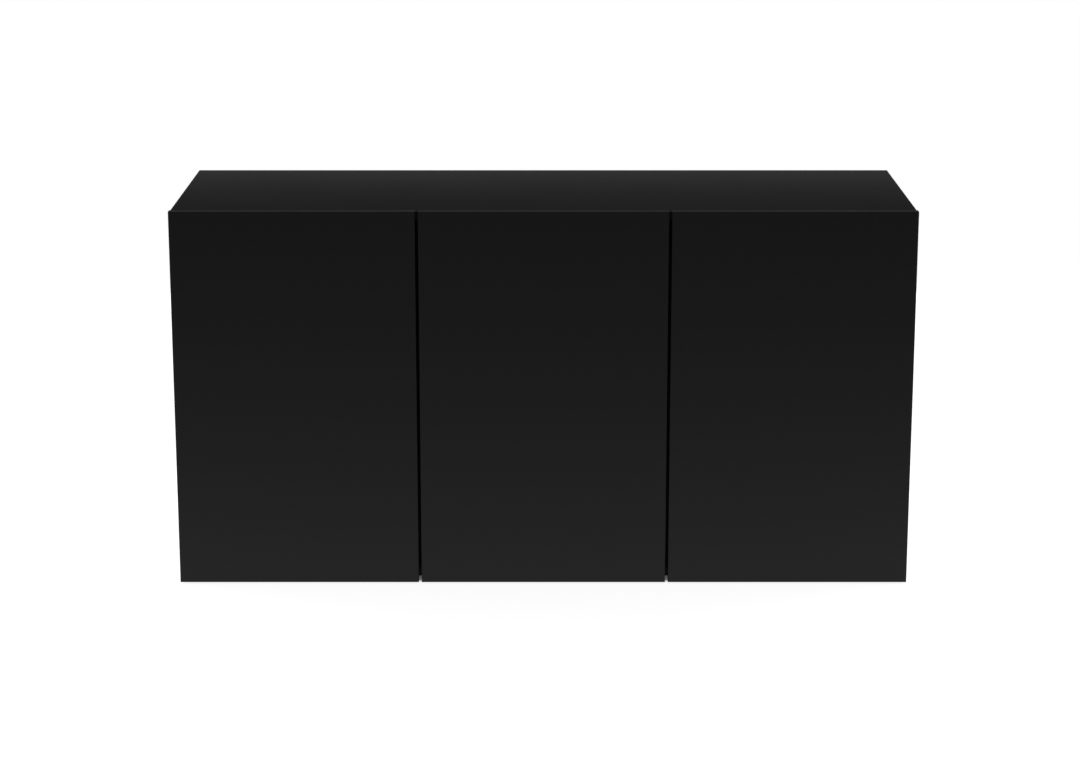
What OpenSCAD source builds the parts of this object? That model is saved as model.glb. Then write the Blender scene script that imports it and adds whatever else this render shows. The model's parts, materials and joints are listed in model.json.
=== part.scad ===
// Aquarium stand cabinet: a board cabinet with three push-to-open doors that carries a tank on its top.
// Millimetres. The origin is the middle of the footprint on the floor. The doors face -Y, +Z is up.

/* [Cabinet] */
// Width over the side panels
overall_w = 1510; // [1300:10:1800]
// Depth from the door fronts to the rear edges of the boards
overall_d = 510; // [420:10:650]
// Height from the floor to the door tops
overall_h = 786; // [650:1:950]
// Thickness of the carcass boards and shelves
board_t = 18; // [16:1:22]
// Distance from the middle of the cabinet to the middle of each partition
partition_x = 256; // [200:1:300]

/* [Doors] */
// Thickness of the doors
door_t = 18; // [16:1:22]
// Gap between neighbouring doors
door_gap = 6; // [5:0.5:10]
// Air behind the closed doors, which the push latches need
door_back_gap = 4; // [3.6:0.1:6]
// Height of the door tops above the top panel
door_top_rise = 3.5; // [0:0.5:10]
// Height of the door bottoms above the floor
door_floor_gap = 3; // [1:0.5:8]

/* [Back panels] */
// Thickness of the back sheets
back_t = 6; // [3:0.5:8]
// Distance from the rear edges of the boards to the back sheets
back_inset = 12; // [8:1:30]
// Depth of the grooves that hold the back sheets
back_groove = 5; // [3:0.5:7]
// Width of each hose opening
hose_w = 160; // [80:5:220]
// Height of each hose opening
hose_h = 70; // [40:5:120]
// Corner radius of each hose opening
hose_r = 15; // [5:1:20]
// Distance from the top panel down to each hose opening
hose_drop = 50; // [20:5:120]

/* [Shelves] */
// Height of the underside of the shelves above the floor
shelf_z = 388; // [250:1:520]
// Distance from the carcass front to the shelf fronts
shelf_setback = 40; // [25:5:120]
// Diameter of the shelf pins
shelf_pin_d = 5; // [4:0.5:8]
// Distance from the carcass front to the front column of shelf pins
pin_column_inset = 90; // [70:1:140]
// Vertical pitch of the shelf pin holes
pin_pitch = 32; // [25:1:40]

/* [Knock-down joints] */
// Diameter of the cam locks
cam_d = 15; // [12:0.5:18]
// Height of the cam locks
cam_h = 12.5; // [11:0.1:13.5]
// Distance from the ends of the uprights to the cam centres
cam_end_dist = 34; // [24:1:40]
// Distance from the edges of the boards to the cam bolts
cam_inset = 60; // [45:1:90]
// Diameter of the wood dowels
dowel_d = 8; // [6:1:10]
// Length of the wood dowels
dowel_l = 30; // [26:1:40]
// Distance from each cam bolt to its dowel
dowel_pitch = 32; // [25:1:64]

/* [Feet] */
// Height of the glide feet
foot_h = 10; // [8:1:14]
// Diameter of the glide feet
foot_d = 40; // [30:1:50]
// Distance from the ends of the bottom panel to the centres of the outer feet
foot_inset = 30; // [26:1:60]

/* [Hinges] */
// Distance from the door ends to the hinges
hinge_inset = 105; // [95:1:160]
// Diameter of the hinge cups
cup_d = 35; // [33:0.5:37]
// Depth of the hinge cups
cup_depth = 13; // [12.5:0.1:13.5]
// Distance from the door edge to the hinge cups
cup_edge = 3; // [2.5:0.1:3.5]
// Distance from the door edge to the hinge pins
pin_edge = 8.2; // [8:0.1:8.6]
// Depth of the hinge pins behind the back faces of the doors
pin_sink = 8; // [7.8:0.1:8.4]
// Diameter of the hinge pins
hinge_pin_d = 3.2; // [2.5:0.1:3.6]
// Height of the hinge arms where they enter the cups
arm_h = 10; // [8:0.5:10.5]
// Height of the mounting plates off the boards
plate_h = 9; // [7:0.5:12]

/* [Push latches] */
// Distance from the free door edges to the latches
latch_inset = 41; // [36:1:80]
// Length of the latch housings
latch_l = 70; // [66:1:90]
// Diameter of the plungers
plunger_d = 9.8; // [8:0.1:11]
// Length of the plungers
plunger_l = 40; // [35:1:42]
// Thickness of the strike plates
strike_t = 1.5; // [1:0.1:2]
// Diameter of the strike plates
strike_d = 16; // [14:0.5:22]

/* [Hidden] */
$fn = 48;

// Colours
board_colour = "#1c1c1e";
sheet_colour = "#242426";
steel_colour = "#a9abad";
zinc_colour = "#8c8f92";
plastic_colour = "#2c2d2f";
rubber_colour = "#141414";
beech_colour = "#c9a878";

// Clearances
fit_clear = 0.1;
run_clear = 0.05;
groove_clear = 0.2;
bore_spare = 0.5;
cut = 1;

// Carcass places
carcass_front = -overall_d / 2 + door_t + door_back_gap;
carcass_back = overall_d / 2;
top_z = overall_h - door_top_rise;
upright_z0 = foot_h + board_t;
upright_z1 = top_z - board_t;
side_x = overall_w / 2 - board_t / 2;
// Each upright is its middle line and the side of it that carries the cams
UPRIGHTS = [[-side_x, 1], [-partition_x, -1], [partition_x, 1], [side_x, -1]];
// Clear bays between the uprights, from left to right
BAYS = [for (i = [0:2]) [UPRIGHTS[i][0] + board_t / 2, UPRIGHTS[i + 1][0] - board_t / 2]];
sheet_y1 = carcass_back - back_inset;
sheet_y0 = sheet_y1 - back_t;
ENDS = [-1, 1];

// Door places, from left to right
door_z0 = door_floor_gap;
door_z1 = overall_h;
DOORS = [
    [-overall_w / 2, -partition_x - door_gap / 2],
    [-partition_x + door_gap / 2, partition_x - door_gap / 2],
    [partition_x + door_gap / 2, overall_w / 2]
];
HINGED_RIGHT = [0, 0, 1];
HINGE_ZS = [door_z0 + hinge_inset, door_z1 - hinge_inset];
function hinge_edge(i) = DOORS[i][HINGED_RIGHT[i]];
function free_edge(i) = DOORS[i][1 - HINGED_RIGHT[i]];
function inward(i) = HINGED_RIGHT[i] ? -1 : 1;
// Distance from the hinge edge of a door to the face of the board that carries its hinges
function overlay(i) = inward(i) * (BAYS[i][HINGED_RIGHT[i]] - hinge_edge(i));
function latch_x(i) = free_edge(i) - inward(i) * latch_inset;

// Cam bolts and dowels
JOINT_YS = [carcass_front + cam_inset, carcass_back - cam_inset];
DOWEL_YS = [carcass_front + cam_inset + dowel_pitch, carcass_back - cam_inset - dowel_pitch];
bolt_thread_d = 5;
bolt_thread_l = 11;
bolt_shank_d = 6;
bolt_head_d = 7;
bolt_head_l = 4;
bolt_neck_d = 4.5;
bolt_hole_d = 8;
cross_l = 8;
cross_w = 1.6;
cross_depth = 2.5;
dowel_in_panel = 12;
dowel_chamfer = 1;

// Shelf pins
pin_in_board = 8;
pin_tab_l = 9;
pin_tab_w = 10;
pin_tab_t = 3;
pin_holes_each_way = 2;
shelf_side_gap = 1;
shelf_back_gap = 6;
pin_drop = 0.5;
pin_z = shelf_z - shelf_pin_d / 2 - pin_drop;
PIN_YS = [carcass_front + pin_column_inset, sheet_y0 - pin_column_inset];

// Feet, in rows midway between the bolts and the dowels
foot_chamfer = 1.5;
foot_row = cam_inset + dowel_pitch / 2;
FEET = [for (x = [-overall_w / 2 + foot_inset, -partition_x, partition_x, overall_w / 2 - foot_inset],
    y = [carcass_front + foot_row, carcass_back - foot_row]) [x, y]];
foot_screw_sink = 3;

// Countersunk screws: shank diameter, head diameter, length
FOOT_SCREW = [4, 8, 20];
CUP_SCREW = [3.5, 7, 13];
PLATE_SCREW = [4, 8, 14];
LATCH_SCREW = [3.5, 6.5, 13];
STRIKE_SCREW = [2.5, 5, 13];
arm_screw_d = 5;
arm_screw_head_d = 9;
arm_screw_head_h = 2.5;
// Cross recesses and slots in the screw heads
slot_w = 1.1;
slot_depth = 1;
slot_share = 0.55;

// Hinge places, in the hinge's own plan: X from the door's hinge edge towards its middle,
// Y from the carcass front towards the back, Z from the middle height of the hinge
door_back = -door_back_gap;
cup_x = cup_edge + cup_d / 2;
cup_wall = 1;
cup_floor = 1;
flange_t = 1;
flange_rim = 1.5;
flange_r = cup_d / 2 + flange_rim;
flange_ear_r = 6;
cup_screw_offset = 9.5;
cup_screw_x = cup_x + cup_screw_offset;
cup_screw_z = 24;
hinge_pin_y = door_back - pin_sink;
hinge_pin_l = 18;
knuckle_r = 3;
lug_r = 3.5;
lug_clear = 0.3;
neck_t = 4;
neck_reach = 18.8;
arm_t = 5;
arm_corner = 4;
arm_x0 = pin_edge + neck_reach;
arm_x1 = arm_x0 + arm_t;
crank_y0 = 3;
crank_y1 = 14;
arm_body_y0 = 16;
arm_body_y1 = 62;
arm_body_h = 15;
arm_screw_y = 52;
adjuster_y = 28;
adjuster_d = 4;
adjuster_l = 6;
plate_row_y = 38;
plate_screw_z = 16;
wing_r = 8;
wing_t = 2.5;

// Latch places, in the latch's own frame: X across, Y from the carcass front towards the back,
// Z up from the underside of the top panel
latch_w = 18;
latch_h = 16;
latch_setback = 3;
latch_flange_w = 38;
latch_flange_t = 3;
latch_flange_l = 30;
latch_screw_x = 14;
plunger_z = -9;
tip_d = 8;
tip_t = 3;
tip_stem_d = 4;
tip_stem_l = 5;
tip_rest_gap = 0.3;
tip_y = door_back + strike_t + tip_rest_gap;
plunger_y = tip_y + tip_t;
bore_end_wall = 4;
bore_end_y = latch_setback + latch_l - bore_end_wall;
spring_wire_d = 1;
spring_end_gap = 0.1;
spring_turns = 8;
spring_rings = 12;
spring_sides = 6;
spring_r = plunger_d / 2 - spring_wire_d;

// Shapes that repeat

// Box between two corners
module block(low, high) {
    translate(low)
        cube(high - low);
}

// Rectangle with round corners, centred
module rounded_rectangle(w, h, r) {
    square([w - 2 * r, h], center = true);
    square([w, h - 2 * r], center = true);
    for (x = ENDS, y = ENDS)
        translate([x * (w / 2 - r), y * (h / 2 - r)])
            circle(r);
}

// Turns a shape's +Z to +Y
module along_y() {
    rotate([-90, 0, 0])
        children();
}

// Turns a shape's +Z to +X
module along_x() {
    rotate([0, 90, 0])
        children();
}

// Countersunk screw with its head at the origin and its shank along -Z
module sunk_screw(s) {
    cone_h = (s[1] - s[0]) / 2;
    difference() {
        rotate_extrude()
            polygon([[0, 0], [s[1] / 2, 0], [s[0] / 2, -cone_h], [s[0] / 2, -s[2] + s[0] / 2], [0, -s[2]]]);
        for (a = [0, 90])
            rotate([0, 0, a])
                cube([s[1] * slot_share, slot_w, 2 * slot_depth], center = true);
    }
}

// Hole for a countersunk screw, open above the head
module sunk_hole(s) {
    cone_h = (s[1] - s[0]) / 2;
    r0 = s[0] / 2 + fit_clear;
    r1 = s[1] / 2 + fit_clear;
    low = -s[2] - bore_spare;
    rotate_extrude()
        polygon([[0, cut], [r1, cut], [r1, 0], [r0, -cone_h], [r0, low], [0, low]]);
}

// Places its children at one end of an upright: +Z out of the end, +X to the face with the cams
module at_joint(upright, y, end) {
    translate([upright[0], y, end > 0 ? upright_z1 : upright_z0])
        mirror([0, 0, end > 0 ? 0 : 1])
            mirror([upright[1] > 0 ? 0 : 1, 0, 0])
                children();
}

// Places its children at every joint of the given ends of the uprights
module at_all_joints(ys, ends = ENDS) {
    for (u = UPRIGHTS, y = ys, e = ends)
        at_joint(u, y, e)
            children();
}

// Places its children at the two hinges of a door
module at_hinges(i) {
    for (z = HINGE_ZS)
        translate([hinge_edge(i), carcass_front, z])
            mirror([HINGED_RIGHT[i], 0, 0])
                children();
}

// Places its children at the latch of a door
module at_latch(i) {
    translate([latch_x(i), carcass_front, upright_z1])
        children();
}

// Places its children at the plate screws of a hinge, with -Z into the board
module at_plate_screws(i) {
    for (e = ENDS)
        translate([overlay(i) + wing_t, plate_row_y, e * plate_screw_z])
            along_x()
                children();
}

// Places its children at the arm screw of a hinge, with -Z into the mounting plate
module at_arm_screw(i, y) {
    translate([overlay(i) + plate_h + arm_t, y, 0])
        along_x()
            children();
}

// Places its children at the cup screws of a hinge, with -Z into the door
module at_cup_screws() {
    for (e = ENDS)
        translate([cup_screw_x, door_back + flange_t, e * cup_screw_z])
            along_y()
                children();
}

// Places its children at the two screws of a latch, with -Z into the top panel
module at_latch_screws() {
    for (e = ENDS)
        translate([e * latch_screw_x, latch_setback + latch_l / 2, -latch_flange_t])
            rotate([180, 0, 0])
                children();
}

// Places its children at the middle of a strike plate's face, with -Z into the door
module at_strike(i) {
    at_latch(i)
        translate([0, door_back + strike_t, plunger_z])
            along_y()
                children();
}

// Knock-down joints

// Cuts in an upright for one cam and its bolt
module cam_cuts() {
    translate([board_t / 2 - cam_h - bore_spare, 0, -cam_end_dist])
        along_x()
            cylinder(d = cam_d + 2 * fit_clear, h = cam_h + bore_spare + cut);
    translate([0, 0, -cam_end_dist])
        cylinder(d = bolt_hole_d, h = cam_end_dist + cut);
}

// Cam with a slot for the bolt head and a cross recess
module cam() {
    difference() {
        translate([board_t / 2 - cam_h, 0, -cam_end_dist])
            along_x()
                cylinder(d = cam_d, h = cam_h);
        translate([0, 0, -cam_end_dist - bolt_head_l])
            cylinder(d = bolt_hole_d, h = cam_d);
        for (a = [45, 135])
            translate([board_t / 2, 0, -cam_end_dist])
                rotate([a, 0, 0])
                    cube([2 * cross_depth, cross_l, cross_w], center = true);
    }
}

// Bolt with its thread in the top or bottom panel and its head in the cam
module cam_bolt() {
    head_top = -cam_end_dist + bolt_head_l / 2;
    neck_top = head_top + bolt_head_l;
    rotate_extrude()
        polygon([[0, bolt_thread_l], [bolt_thread_d / 2, bolt_thread_l], [bolt_thread_d / 2, 0],
            [bolt_shank_d / 2, 0], [bolt_shank_d / 2, neck_top], [bolt_neck_d / 2, neck_top],
            [bolt_neck_d / 2, head_top], [bolt_head_d / 2, head_top],
            [bolt_head_d / 2, head_top - bolt_head_l], [0, head_top - bolt_head_l]]);
}

// Blind hole of a bolt thread in the top or bottom panel
module bolt_pilot() {
    translate([0, 0, -cut])
        cylinder(d = bolt_thread_d + 2 * fit_clear, h = bolt_thread_l + bore_spare + cut);
}

// Dowel across a joint
module dowel() {
    low = dowel_in_panel - dowel_l;
    r = dowel_d / 2;
    rotate_extrude()
        polygon([[0, low], [r - dowel_chamfer, low], [r, low + dowel_chamfer],
            [r, dowel_in_panel - dowel_chamfer], [r - dowel_chamfer, dowel_in_panel], [0, dowel_in_panel]]);
}

// Hole of a dowel through both boards
module dowel_hole() {
    translate([0, 0, dowel_in_panel - dowel_l - bore_spare])
        cylinder(d = dowel_d + 2 * fit_clear, h = dowel_l + 2 * bore_spare);
}

// Carcass boards

// Board that lies over the ends of the uprights, with the grooves of the back sheets
module flat_board(z0, end) {
    face_z = end > 0 ? z0 : z0 + board_t;
    difference() {
        block([-overall_w / 2, carcass_front, z0], [overall_w / 2, carcass_back, z0 + board_t]);
        at_all_joints(JOINT_YS, [end])
            bolt_pilot();
        at_all_joints(DOWEL_YS, [end])
            dowel_hole();
        for (b = BAYS)
            block([b[0] - back_groove, sheet_y0 - groove_clear, face_z - back_groove],
                [b[1] + back_groove, sheet_y1 + groove_clear, face_z + back_groove]);
    }
}

// Upright board with grooves in the listed faces and shelf pin holes in one face
module upright_board(k, groove_faces, pin_face) {
    x = UPRIGHTS[k][0];
    pin_hole_d = shelf_pin_d + 2 * fit_clear;
    pin_hole_l = pin_in_board + bore_spare;
    difference() {
        block([x - board_t / 2, carcass_front, upright_z0], [x + board_t / 2, carcass_back, upright_z1]);
        for (e = ENDS) {
            for (y = JOINT_YS)
                at_joint(UPRIGHTS[k], y, e)
                    cam_cuts();
            for (y = DOWEL_YS)
                at_joint(UPRIGHTS[k], y, e)
                    dowel_hole();
        }
        for (f = groove_faces)
            translate([x + f * board_t / 2, 0, 0])
                block([-back_groove, sheet_y0 - groove_clear, upright_z0 - cut],
                    [back_groove, sheet_y1 + groove_clear, upright_z1 + cut]);
        for (y = PIN_YS, n = [-pin_holes_each_way:pin_holes_each_way])
            translate([x + pin_face * board_t / 2, y, pin_z + n * pin_pitch])
                along_x()
                    cylinder(d = pin_hole_d, h = 2 * pin_hole_l, center = true);
    }
}

// Back sheet of a bay with its hose opening
module back_sheet(i) {
    w = BAYS[i][1] - BAYS[i][0] + 2 * (back_groove - groove_clear);
    z0 = upright_z0 - back_groove + groove_clear;
    z1 = upright_z1 + back_groove - groove_clear;
    color(sheet_colour)
        translate([(BAYS[i][0] + BAYS[i][1]) / 2, sheet_y1, 0])
            rotate([90, 0, 0])
                linear_extrude(back_t)
                    difference() {
                        translate([-w / 2, z0])
                            square([w, z1 - z0]);
                        translate([0, upright_z1 - hose_drop - hose_h / 2])
                            rounded_rectangle(hose_w, hose_h, hose_r);
                    }
}

// Shelf of a bay
module shelf(i) {
    color(board_colour)
        block([BAYS[i][0] + shelf_side_gap, carcass_front + shelf_setback, shelf_z],
            [BAYS[i][1] - shelf_side_gap, sheet_y0 - shelf_back_gap, shelf_z + board_t]);
}

// Shelf pin with its flat tab under the shelf, pointing to +X out of the board
module shelf_pin() {
    translate([-pin_in_board, 0, 0])
        along_x()
            cylinder(d = shelf_pin_d, h = pin_in_board + pin_tab_l);
    block([0, -pin_tab_w / 2, shelf_z - pin_z - pin_tab_t], [pin_tab_l, pin_tab_w / 2, shelf_z - pin_z]);
}

module top_panel() {
    color(board_colour)
        difference() {
            flat_board(upright_z1, 1);
            for (i = [0:2])
                at_latch(i)
                    at_latch_screws()
                        sunk_hole(LATCH_SCREW);
        }
}

module bottom_panel() {
    color(board_colour)
        difference() {
            flat_board(foot_h, -1);
            at_foot_screws()
                sunk_hole(FOOT_SCREW);
        }
}

module left_side_panel() {
    color(board_colour)
        difference() {
            upright_board(0, [1], 1);
            at_hinges(0)
                at_plate_screws(0)
                    sunk_hole(PLATE_SCREW);
        }
}

module right_side_panel() {
    color(board_colour)
        difference() {
            upright_board(3, [-1], -1);
            at_hinges(2)
                at_plate_screws(2)
                    sunk_hole(PLATE_SCREW);
        }
}

module left_partition() {
    color(board_colour)
        difference() {
            upright_board(1, [-1, 1], -1);
            at_hinges(1)
                at_plate_screws(1)
                    sunk_hole(PLATE_SCREW);
        }
}

module right_partition() {
    color(board_colour)
        upright_board(2, [-1, 1], 1);
}

module left_back_panel() { back_sheet(0); }
module centre_back_panel() { back_sheet(1); }
module right_back_panel() { back_sheet(2); }
module left_shelf() { shelf(0); }
module right_shelf() { shelf(2); }

module shelf_pins() {
    color(steel_colour)
        for (i = [0, 2], e = [0, 1], y = PIN_YS)
            translate([BAYS[i][e], y, pin_z])
                mirror([e, 0, 0])
                    shelf_pin();
}

module cam_locks() {
    color(zinc_colour)
        at_all_joints(JOINT_YS)
            cam();
}

module cam_bolts() {
    color(steel_colour)
        at_all_joints(JOINT_YS)
            cam_bolt();
}

module wood_dowels() {
    color(beech_colour)
        at_all_joints(DOWEL_YS)
            dowel();
}

// Feet

// Places its children at the foot screws, with -Z pointing up into the bottom panel
module at_foot_screws() {
    for (f = FEET)
        translate([f[0], f[1], foot_screw_sink])
            rotate([180, 0, 0])
                children();
}

module glide_feet() {
    r = foot_d / 2;
    color(plastic_colour)
        difference() {
            for (f = FEET)
                translate([f[0], f[1], 0])
                    rotate_extrude()
                        polygon([[0, 0], [r - foot_chamfer, 0], [r, foot_chamfer], [r, foot_h], [0, foot_h]]);
            at_foot_screws()
                union() {
                    sunk_hole(FOOT_SCREW);
                    cylinder(d = FOOT_SCREW[1] + 2 * fit_clear, h = foot_screw_sink + cut);
                }
        }
}

module foot_screws() {
    color(steel_colour)
        at_foot_screws()
            sunk_screw(FOOT_SCREW);
}

// Hinges

// Outline of a cup's flange with its two screw ears, in the plane of the door
module flange_outline() {
    circle(flange_r);
    translate([cup_screw_x - cup_x, 0])
        rounded_rectangle(2 * flange_ear_r, 2 * (cup_screw_z + flange_ear_r), flange_ear_r - fit_clear);
}

// Solid round body of a cup
module cup_body(d, low, high) {
    translate([cup_x, low, 0])
        along_y()
            cylinder(d = d, h = high - low);
}

module hinge_cup() {
    floor_y = door_back - cup_depth;
    difference() {
        union() {
            difference() {
                union() {
                    cup_body(cup_d - 2 * fit_clear, floor_y, door_back + flange_t);
                    translate([cup_x, door_back, 0])
                        along_y()
                            linear_extrude(flange_t)
                                flange_outline();
                }
                cup_body(cup_d - 2 * (fit_clear + cup_wall), floor_y + cup_floor, door_back + flange_t + cut);
            }
            intersection() {
                for (e = ENDS)
                    mirror([0, 0, e > 0 ? 0 : 1])
                        translate([0, 0, arm_h / 2 + lug_clear]) {
                            translate([pin_edge, hinge_pin_y, 0])
                                cylinder(r = lug_r, h = cup_d / 2);
                            block([pin_edge - lug_r, floor_y, 0], [pin_edge + lug_r, hinge_pin_y, cup_d / 2]);
                        }
                cup_body(cup_d - 2 * fit_clear, floor_y, door_back);
            }
        }
        translate([pin_edge, hinge_pin_y, 0])
            cylinder(d = hinge_pin_d, h = hinge_pin_l, center = true);
        at_cup_screws()
            sunk_hole(CUP_SCREW);
    }
}

// Plan of an arm: knuckle round the pin, neck across the cup, then a bar back to the mounting plate
module arm_plan(crank) {
    neck_y0 = hinge_pin_y - neck_t / 2;
    neck_y1 = hinge_pin_y + neck_t / 2;
    difference() {
        union() {
            translate([pin_edge, hinge_pin_y])
                circle(knuckle_r);
            polygon([[pin_edge, neck_y0], [arm_x1 - arm_corner, neck_y0], [arm_x1, neck_y0 + arm_corner],
                [arm_x1, crank_y0], [arm_x1 - crank, crank_y1], [arm_x1 - crank, arm_body_y1],
                [arm_x0 - crank, arm_body_y1], [arm_x0 - crank, crank_y1], [arm_x0, crank_y0],
                [arm_x0, neck_y1], [pin_edge, neck_y1]]);
        }
        translate([pin_edge, hinge_pin_y])
            circle(hinge_pin_d / 2 + run_clear);
    }
}

module hinge_arm(i) {
    crank = arm_x0 - plate_h - overlay(i);
    difference() {
        union() {
            linear_extrude(arm_h, center = true)
                arm_plan(crank);
            block([arm_x0 - crank, arm_body_y0, -arm_body_h / 2],
                [arm_x1 - crank, arm_body_y1, arm_body_h / 2]);
        }
        at_arm_screw(i, arm_screw_y)
            cylinder(d = arm_screw_d + 2 * fit_clear, h = 3 * arm_t, center = true);
        at_arm_screw(i, adjuster_y)
            cylinder(d = adjuster_d + 2 * fit_clear, h = 3 * arm_t, center = true);
    }
}

module mounting_plate(i) {
    difference() {
        union() {
            translate([overlay(i), plate_row_y, 0])
                along_x()
                    linear_extrude(wing_t)
                        rounded_rectangle(2 * (plate_screw_z + wing_r), 2 * wing_r, wing_r - fit_clear);
            block([overlay(i), arm_body_y0, -arm_body_h / 2],
                [overlay(i) + plate_h, arm_body_y1, arm_body_h / 2]);
        }
        at_plate_screws(i)
            sunk_hole(PLATE_SCREW);
        at_arm_screw(i, arm_screw_y)
            cylinder(d = arm_screw_d + 2 * fit_clear, h = 2 * (arm_t + plate_h), center = true);
    }
}

// Pan head screw that clamps the arm, with a cross recess
module arm_screw() {
    difference() {
        union() {
            cylinder(d = arm_screw_head_d, h = arm_screw_head_h);
            translate([0, 0, -arm_t - plate_h + wing_t])
                cylinder(d = arm_screw_d, h = arm_t + plate_h - wing_t);
        }
        for (a = [0, 90])
            rotate([0, 0, a])
                translate([0, 0, arm_screw_head_h])
                    cube([arm_screw_head_d * slot_share, slot_w, 2 * slot_depth], center = true);
    }
}

// Slotted grub screw that shifts the arm on its plate
module adjuster() {
    difference() {
        translate([0, 0, -arm_t])
            cylinder(d = adjuster_d, h = adjuster_l);
        translate([0, 0, adjuster_l - arm_t])
            cube([2 * adjuster_d, slot_w, 2 * slot_depth], center = true);
    }
}

module hinge_arms(i) {
    color(steel_colour)
        at_hinges(i)
            hinge_arm(i);
}

module mounting_plates(i) {
    color(steel_colour)
        at_hinges(i)
            mounting_plate(i);
}

module hinge_cups(i) {
    color(steel_colour)
        at_hinges(i)
            hinge_cup();
}

module hinge_pins(i) {
    color(zinc_colour)
        at_hinges(i)
            translate([pin_edge, hinge_pin_y, 0])
                cylinder(d = hinge_pin_d, h = hinge_pin_l, center = true);
}

module cup_screws(i) {
    color(steel_colour)
        at_hinges(i)
            at_cup_screws()
                sunk_screw(CUP_SCREW);
}

module left_hinge_arms() { hinge_arms(0); }
module centre_hinge_arms() { hinge_arms(1); }
module right_hinge_arms() { hinge_arms(2); }
module left_mounting_plates() { mounting_plates(0); }
module centre_mounting_plates() { mounting_plates(1); }
module right_mounting_plates() { mounting_plates(2); }
module left_hinge_cups() { hinge_cups(0); }
module centre_hinge_cups() { hinge_cups(1); }
module right_hinge_cups() { hinge_cups(2); }
module left_hinge_pins() { hinge_pins(0); }
module centre_hinge_pins() { hinge_pins(1); }
module right_hinge_pins() { hinge_pins(2); }
module left_cup_screws() { cup_screws(0); }
module centre_cup_screws() { cup_screws(1); }
module right_cup_screws() { cup_screws(2); }

module plate_screws() {
    color(steel_colour)
        for (i = [0:2])
            at_hinges(i)
                at_plate_screws(i)
                    sunk_screw(PLATE_SCREW);
}

module arm_screws() {
    color(steel_colour)
        for (i = [0:2])
            at_hinges(i) {
                at_arm_screw(i, arm_screw_y)
                    arm_screw();
                at_arm_screw(i, adjuster_y)
                    adjuster();
            }
}

// Doors

module door(i) {
    color(board_colour)
        difference() {
            block([DOORS[i][0], -overall_d / 2, door_z0], [DOORS[i][1], -overall_d / 2 + door_t, door_z1]);
            at_hinges(i) {
                cup_body(cup_d, door_back - cup_depth - bore_spare, door_back + cut);
                at_cup_screws()
                    sunk_hole(CUP_SCREW);
            }
            at_strike(i)
                sunk_hole(STRIKE_SCREW);
        }
}

module left_door() { door(0); }
module centre_door() { door(1); }
module right_door() { door(2); }

// Push latches

module latch_housing(i) {
    bore_d = plunger_d + 2 * fit_clear;
    color(plastic_colour)
        at_latch(i)
            difference() {
                union() {
                    block([-latch_w / 2, latch_setback, -latch_h], [latch_w / 2, latch_setback + latch_l, 0]);
                    translate([0, latch_setback + latch_l / 2, -latch_flange_t])
                        linear_extrude(latch_flange_t)
                            rounded_rectangle(latch_flange_w, latch_flange_l, latch_flange_t);
                }
                translate([0, latch_setback - cut, plunger_z])
                    along_y()
                        cylinder(d = bore_d, h = bore_end_y - latch_setback + cut);
                at_latch_screws()
                    sunk_hole(LATCH_SCREW);
            }
}

module latch_plunger(i) {
    color(plastic_colour)
        at_latch(i)
            difference() {
                translate([0, plunger_y, plunger_z])
                    along_y()
                        cylinder(d = plunger_d, h = plunger_l);
                translate([0, plunger_y - cut, plunger_z])
                    along_y()
                        cylinder(d = tip_stem_d, h = tip_stem_l + bore_spare + cut);
            }
}

// Soft tip with a stem in the plunger
module latch_tip(i) {
    color(rubber_colour)
        at_latch(i)
            translate([0, tip_y, plunger_z])
                along_y()
                    union() {
                        cylinder(d = tip_d, h = tip_t);
                        cylinder(d = tip_stem_d, h = tip_t + tip_stem_l);
                    }
}

// Compression spring between the plunger and the end of the bore
module latch_spring(i) {
    y0 = plunger_y + plunger_l + spring_end_gap + spring_wire_d / 2;
    y1 = bore_end_y - spring_end_gap - spring_wire_d / 2;
    rings = spring_turns * spring_rings;
    points = [for (k = [0:rings], s = [0:spring_sides - 1])
        let (a = 360 * k / spring_rings, b = 360 * s / spring_sides,
            r = spring_r + cos(b) * spring_wire_d / 2)
        [r * cos(a), y0 + (y1 - y0) * k / rings + sin(b) * spring_wire_d / 2, plunger_z + r * sin(a)]];
    walls = [for (k = [0:rings - 1], s = [0:spring_sides - 1])
        let (a = k * spring_sides + s, b = k * spring_sides + (s + 1) % spring_sides)
        each [[a, b, a + spring_sides], [b, b + spring_sides, a + spring_sides]]];
    ends = [for (s = [1:spring_sides - 2])
        each [[0, s + 1, s], [rings * spring_sides, rings * spring_sides + s, rings * spring_sides + s + 1]]];
    color(steel_colour)
        at_latch(i)
            polyhedron(points, concat(walls, ends));
}

module strike_plate(i) {
    color(steel_colour)
        difference() {
            at_strike(i)
                translate([0, 0, -strike_t])
                    cylinder(d = strike_d, h = strike_t);
            at_strike(i)
                sunk_hole(STRIKE_SCREW);
        }
}

module strike_screw(i) {
    color(steel_colour)
        at_strike(i)
            sunk_screw(STRIKE_SCREW);
}

module latch_screws() {
    color(steel_colour)
        for (i = [0:2])
            at_latch(i)
                at_latch_screws()
                    sunk_screw(LATCH_SCREW);
}

module left_latch_housing() { latch_housing(0); }
module centre_latch_housing() { latch_housing(1); }
module right_latch_housing() { latch_housing(2); }
module left_latch_spring() { latch_spring(0); }
module centre_latch_spring() { latch_spring(1); }
module right_latch_spring() { latch_spring(2); }
module left_latch_plunger() { latch_plunger(0); }
module centre_latch_plunger() { latch_plunger(1); }
module right_latch_plunger() { latch_plunger(2); }
module left_latch_tip() { latch_tip(0); }
module centre_latch_tip() { latch_tip(1); }
module right_latch_tip() { latch_tip(2); }
module left_strike_plate() { strike_plate(0); }
module centre_strike_plate() { strike_plate(1); }
module right_strike_plate() { strike_plate(2); }
module left_strike_screw() { strike_screw(0); }
module centre_strike_screw() { strike_screw(1); }
module right_strike_screw() { strike_screw(2); }

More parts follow.
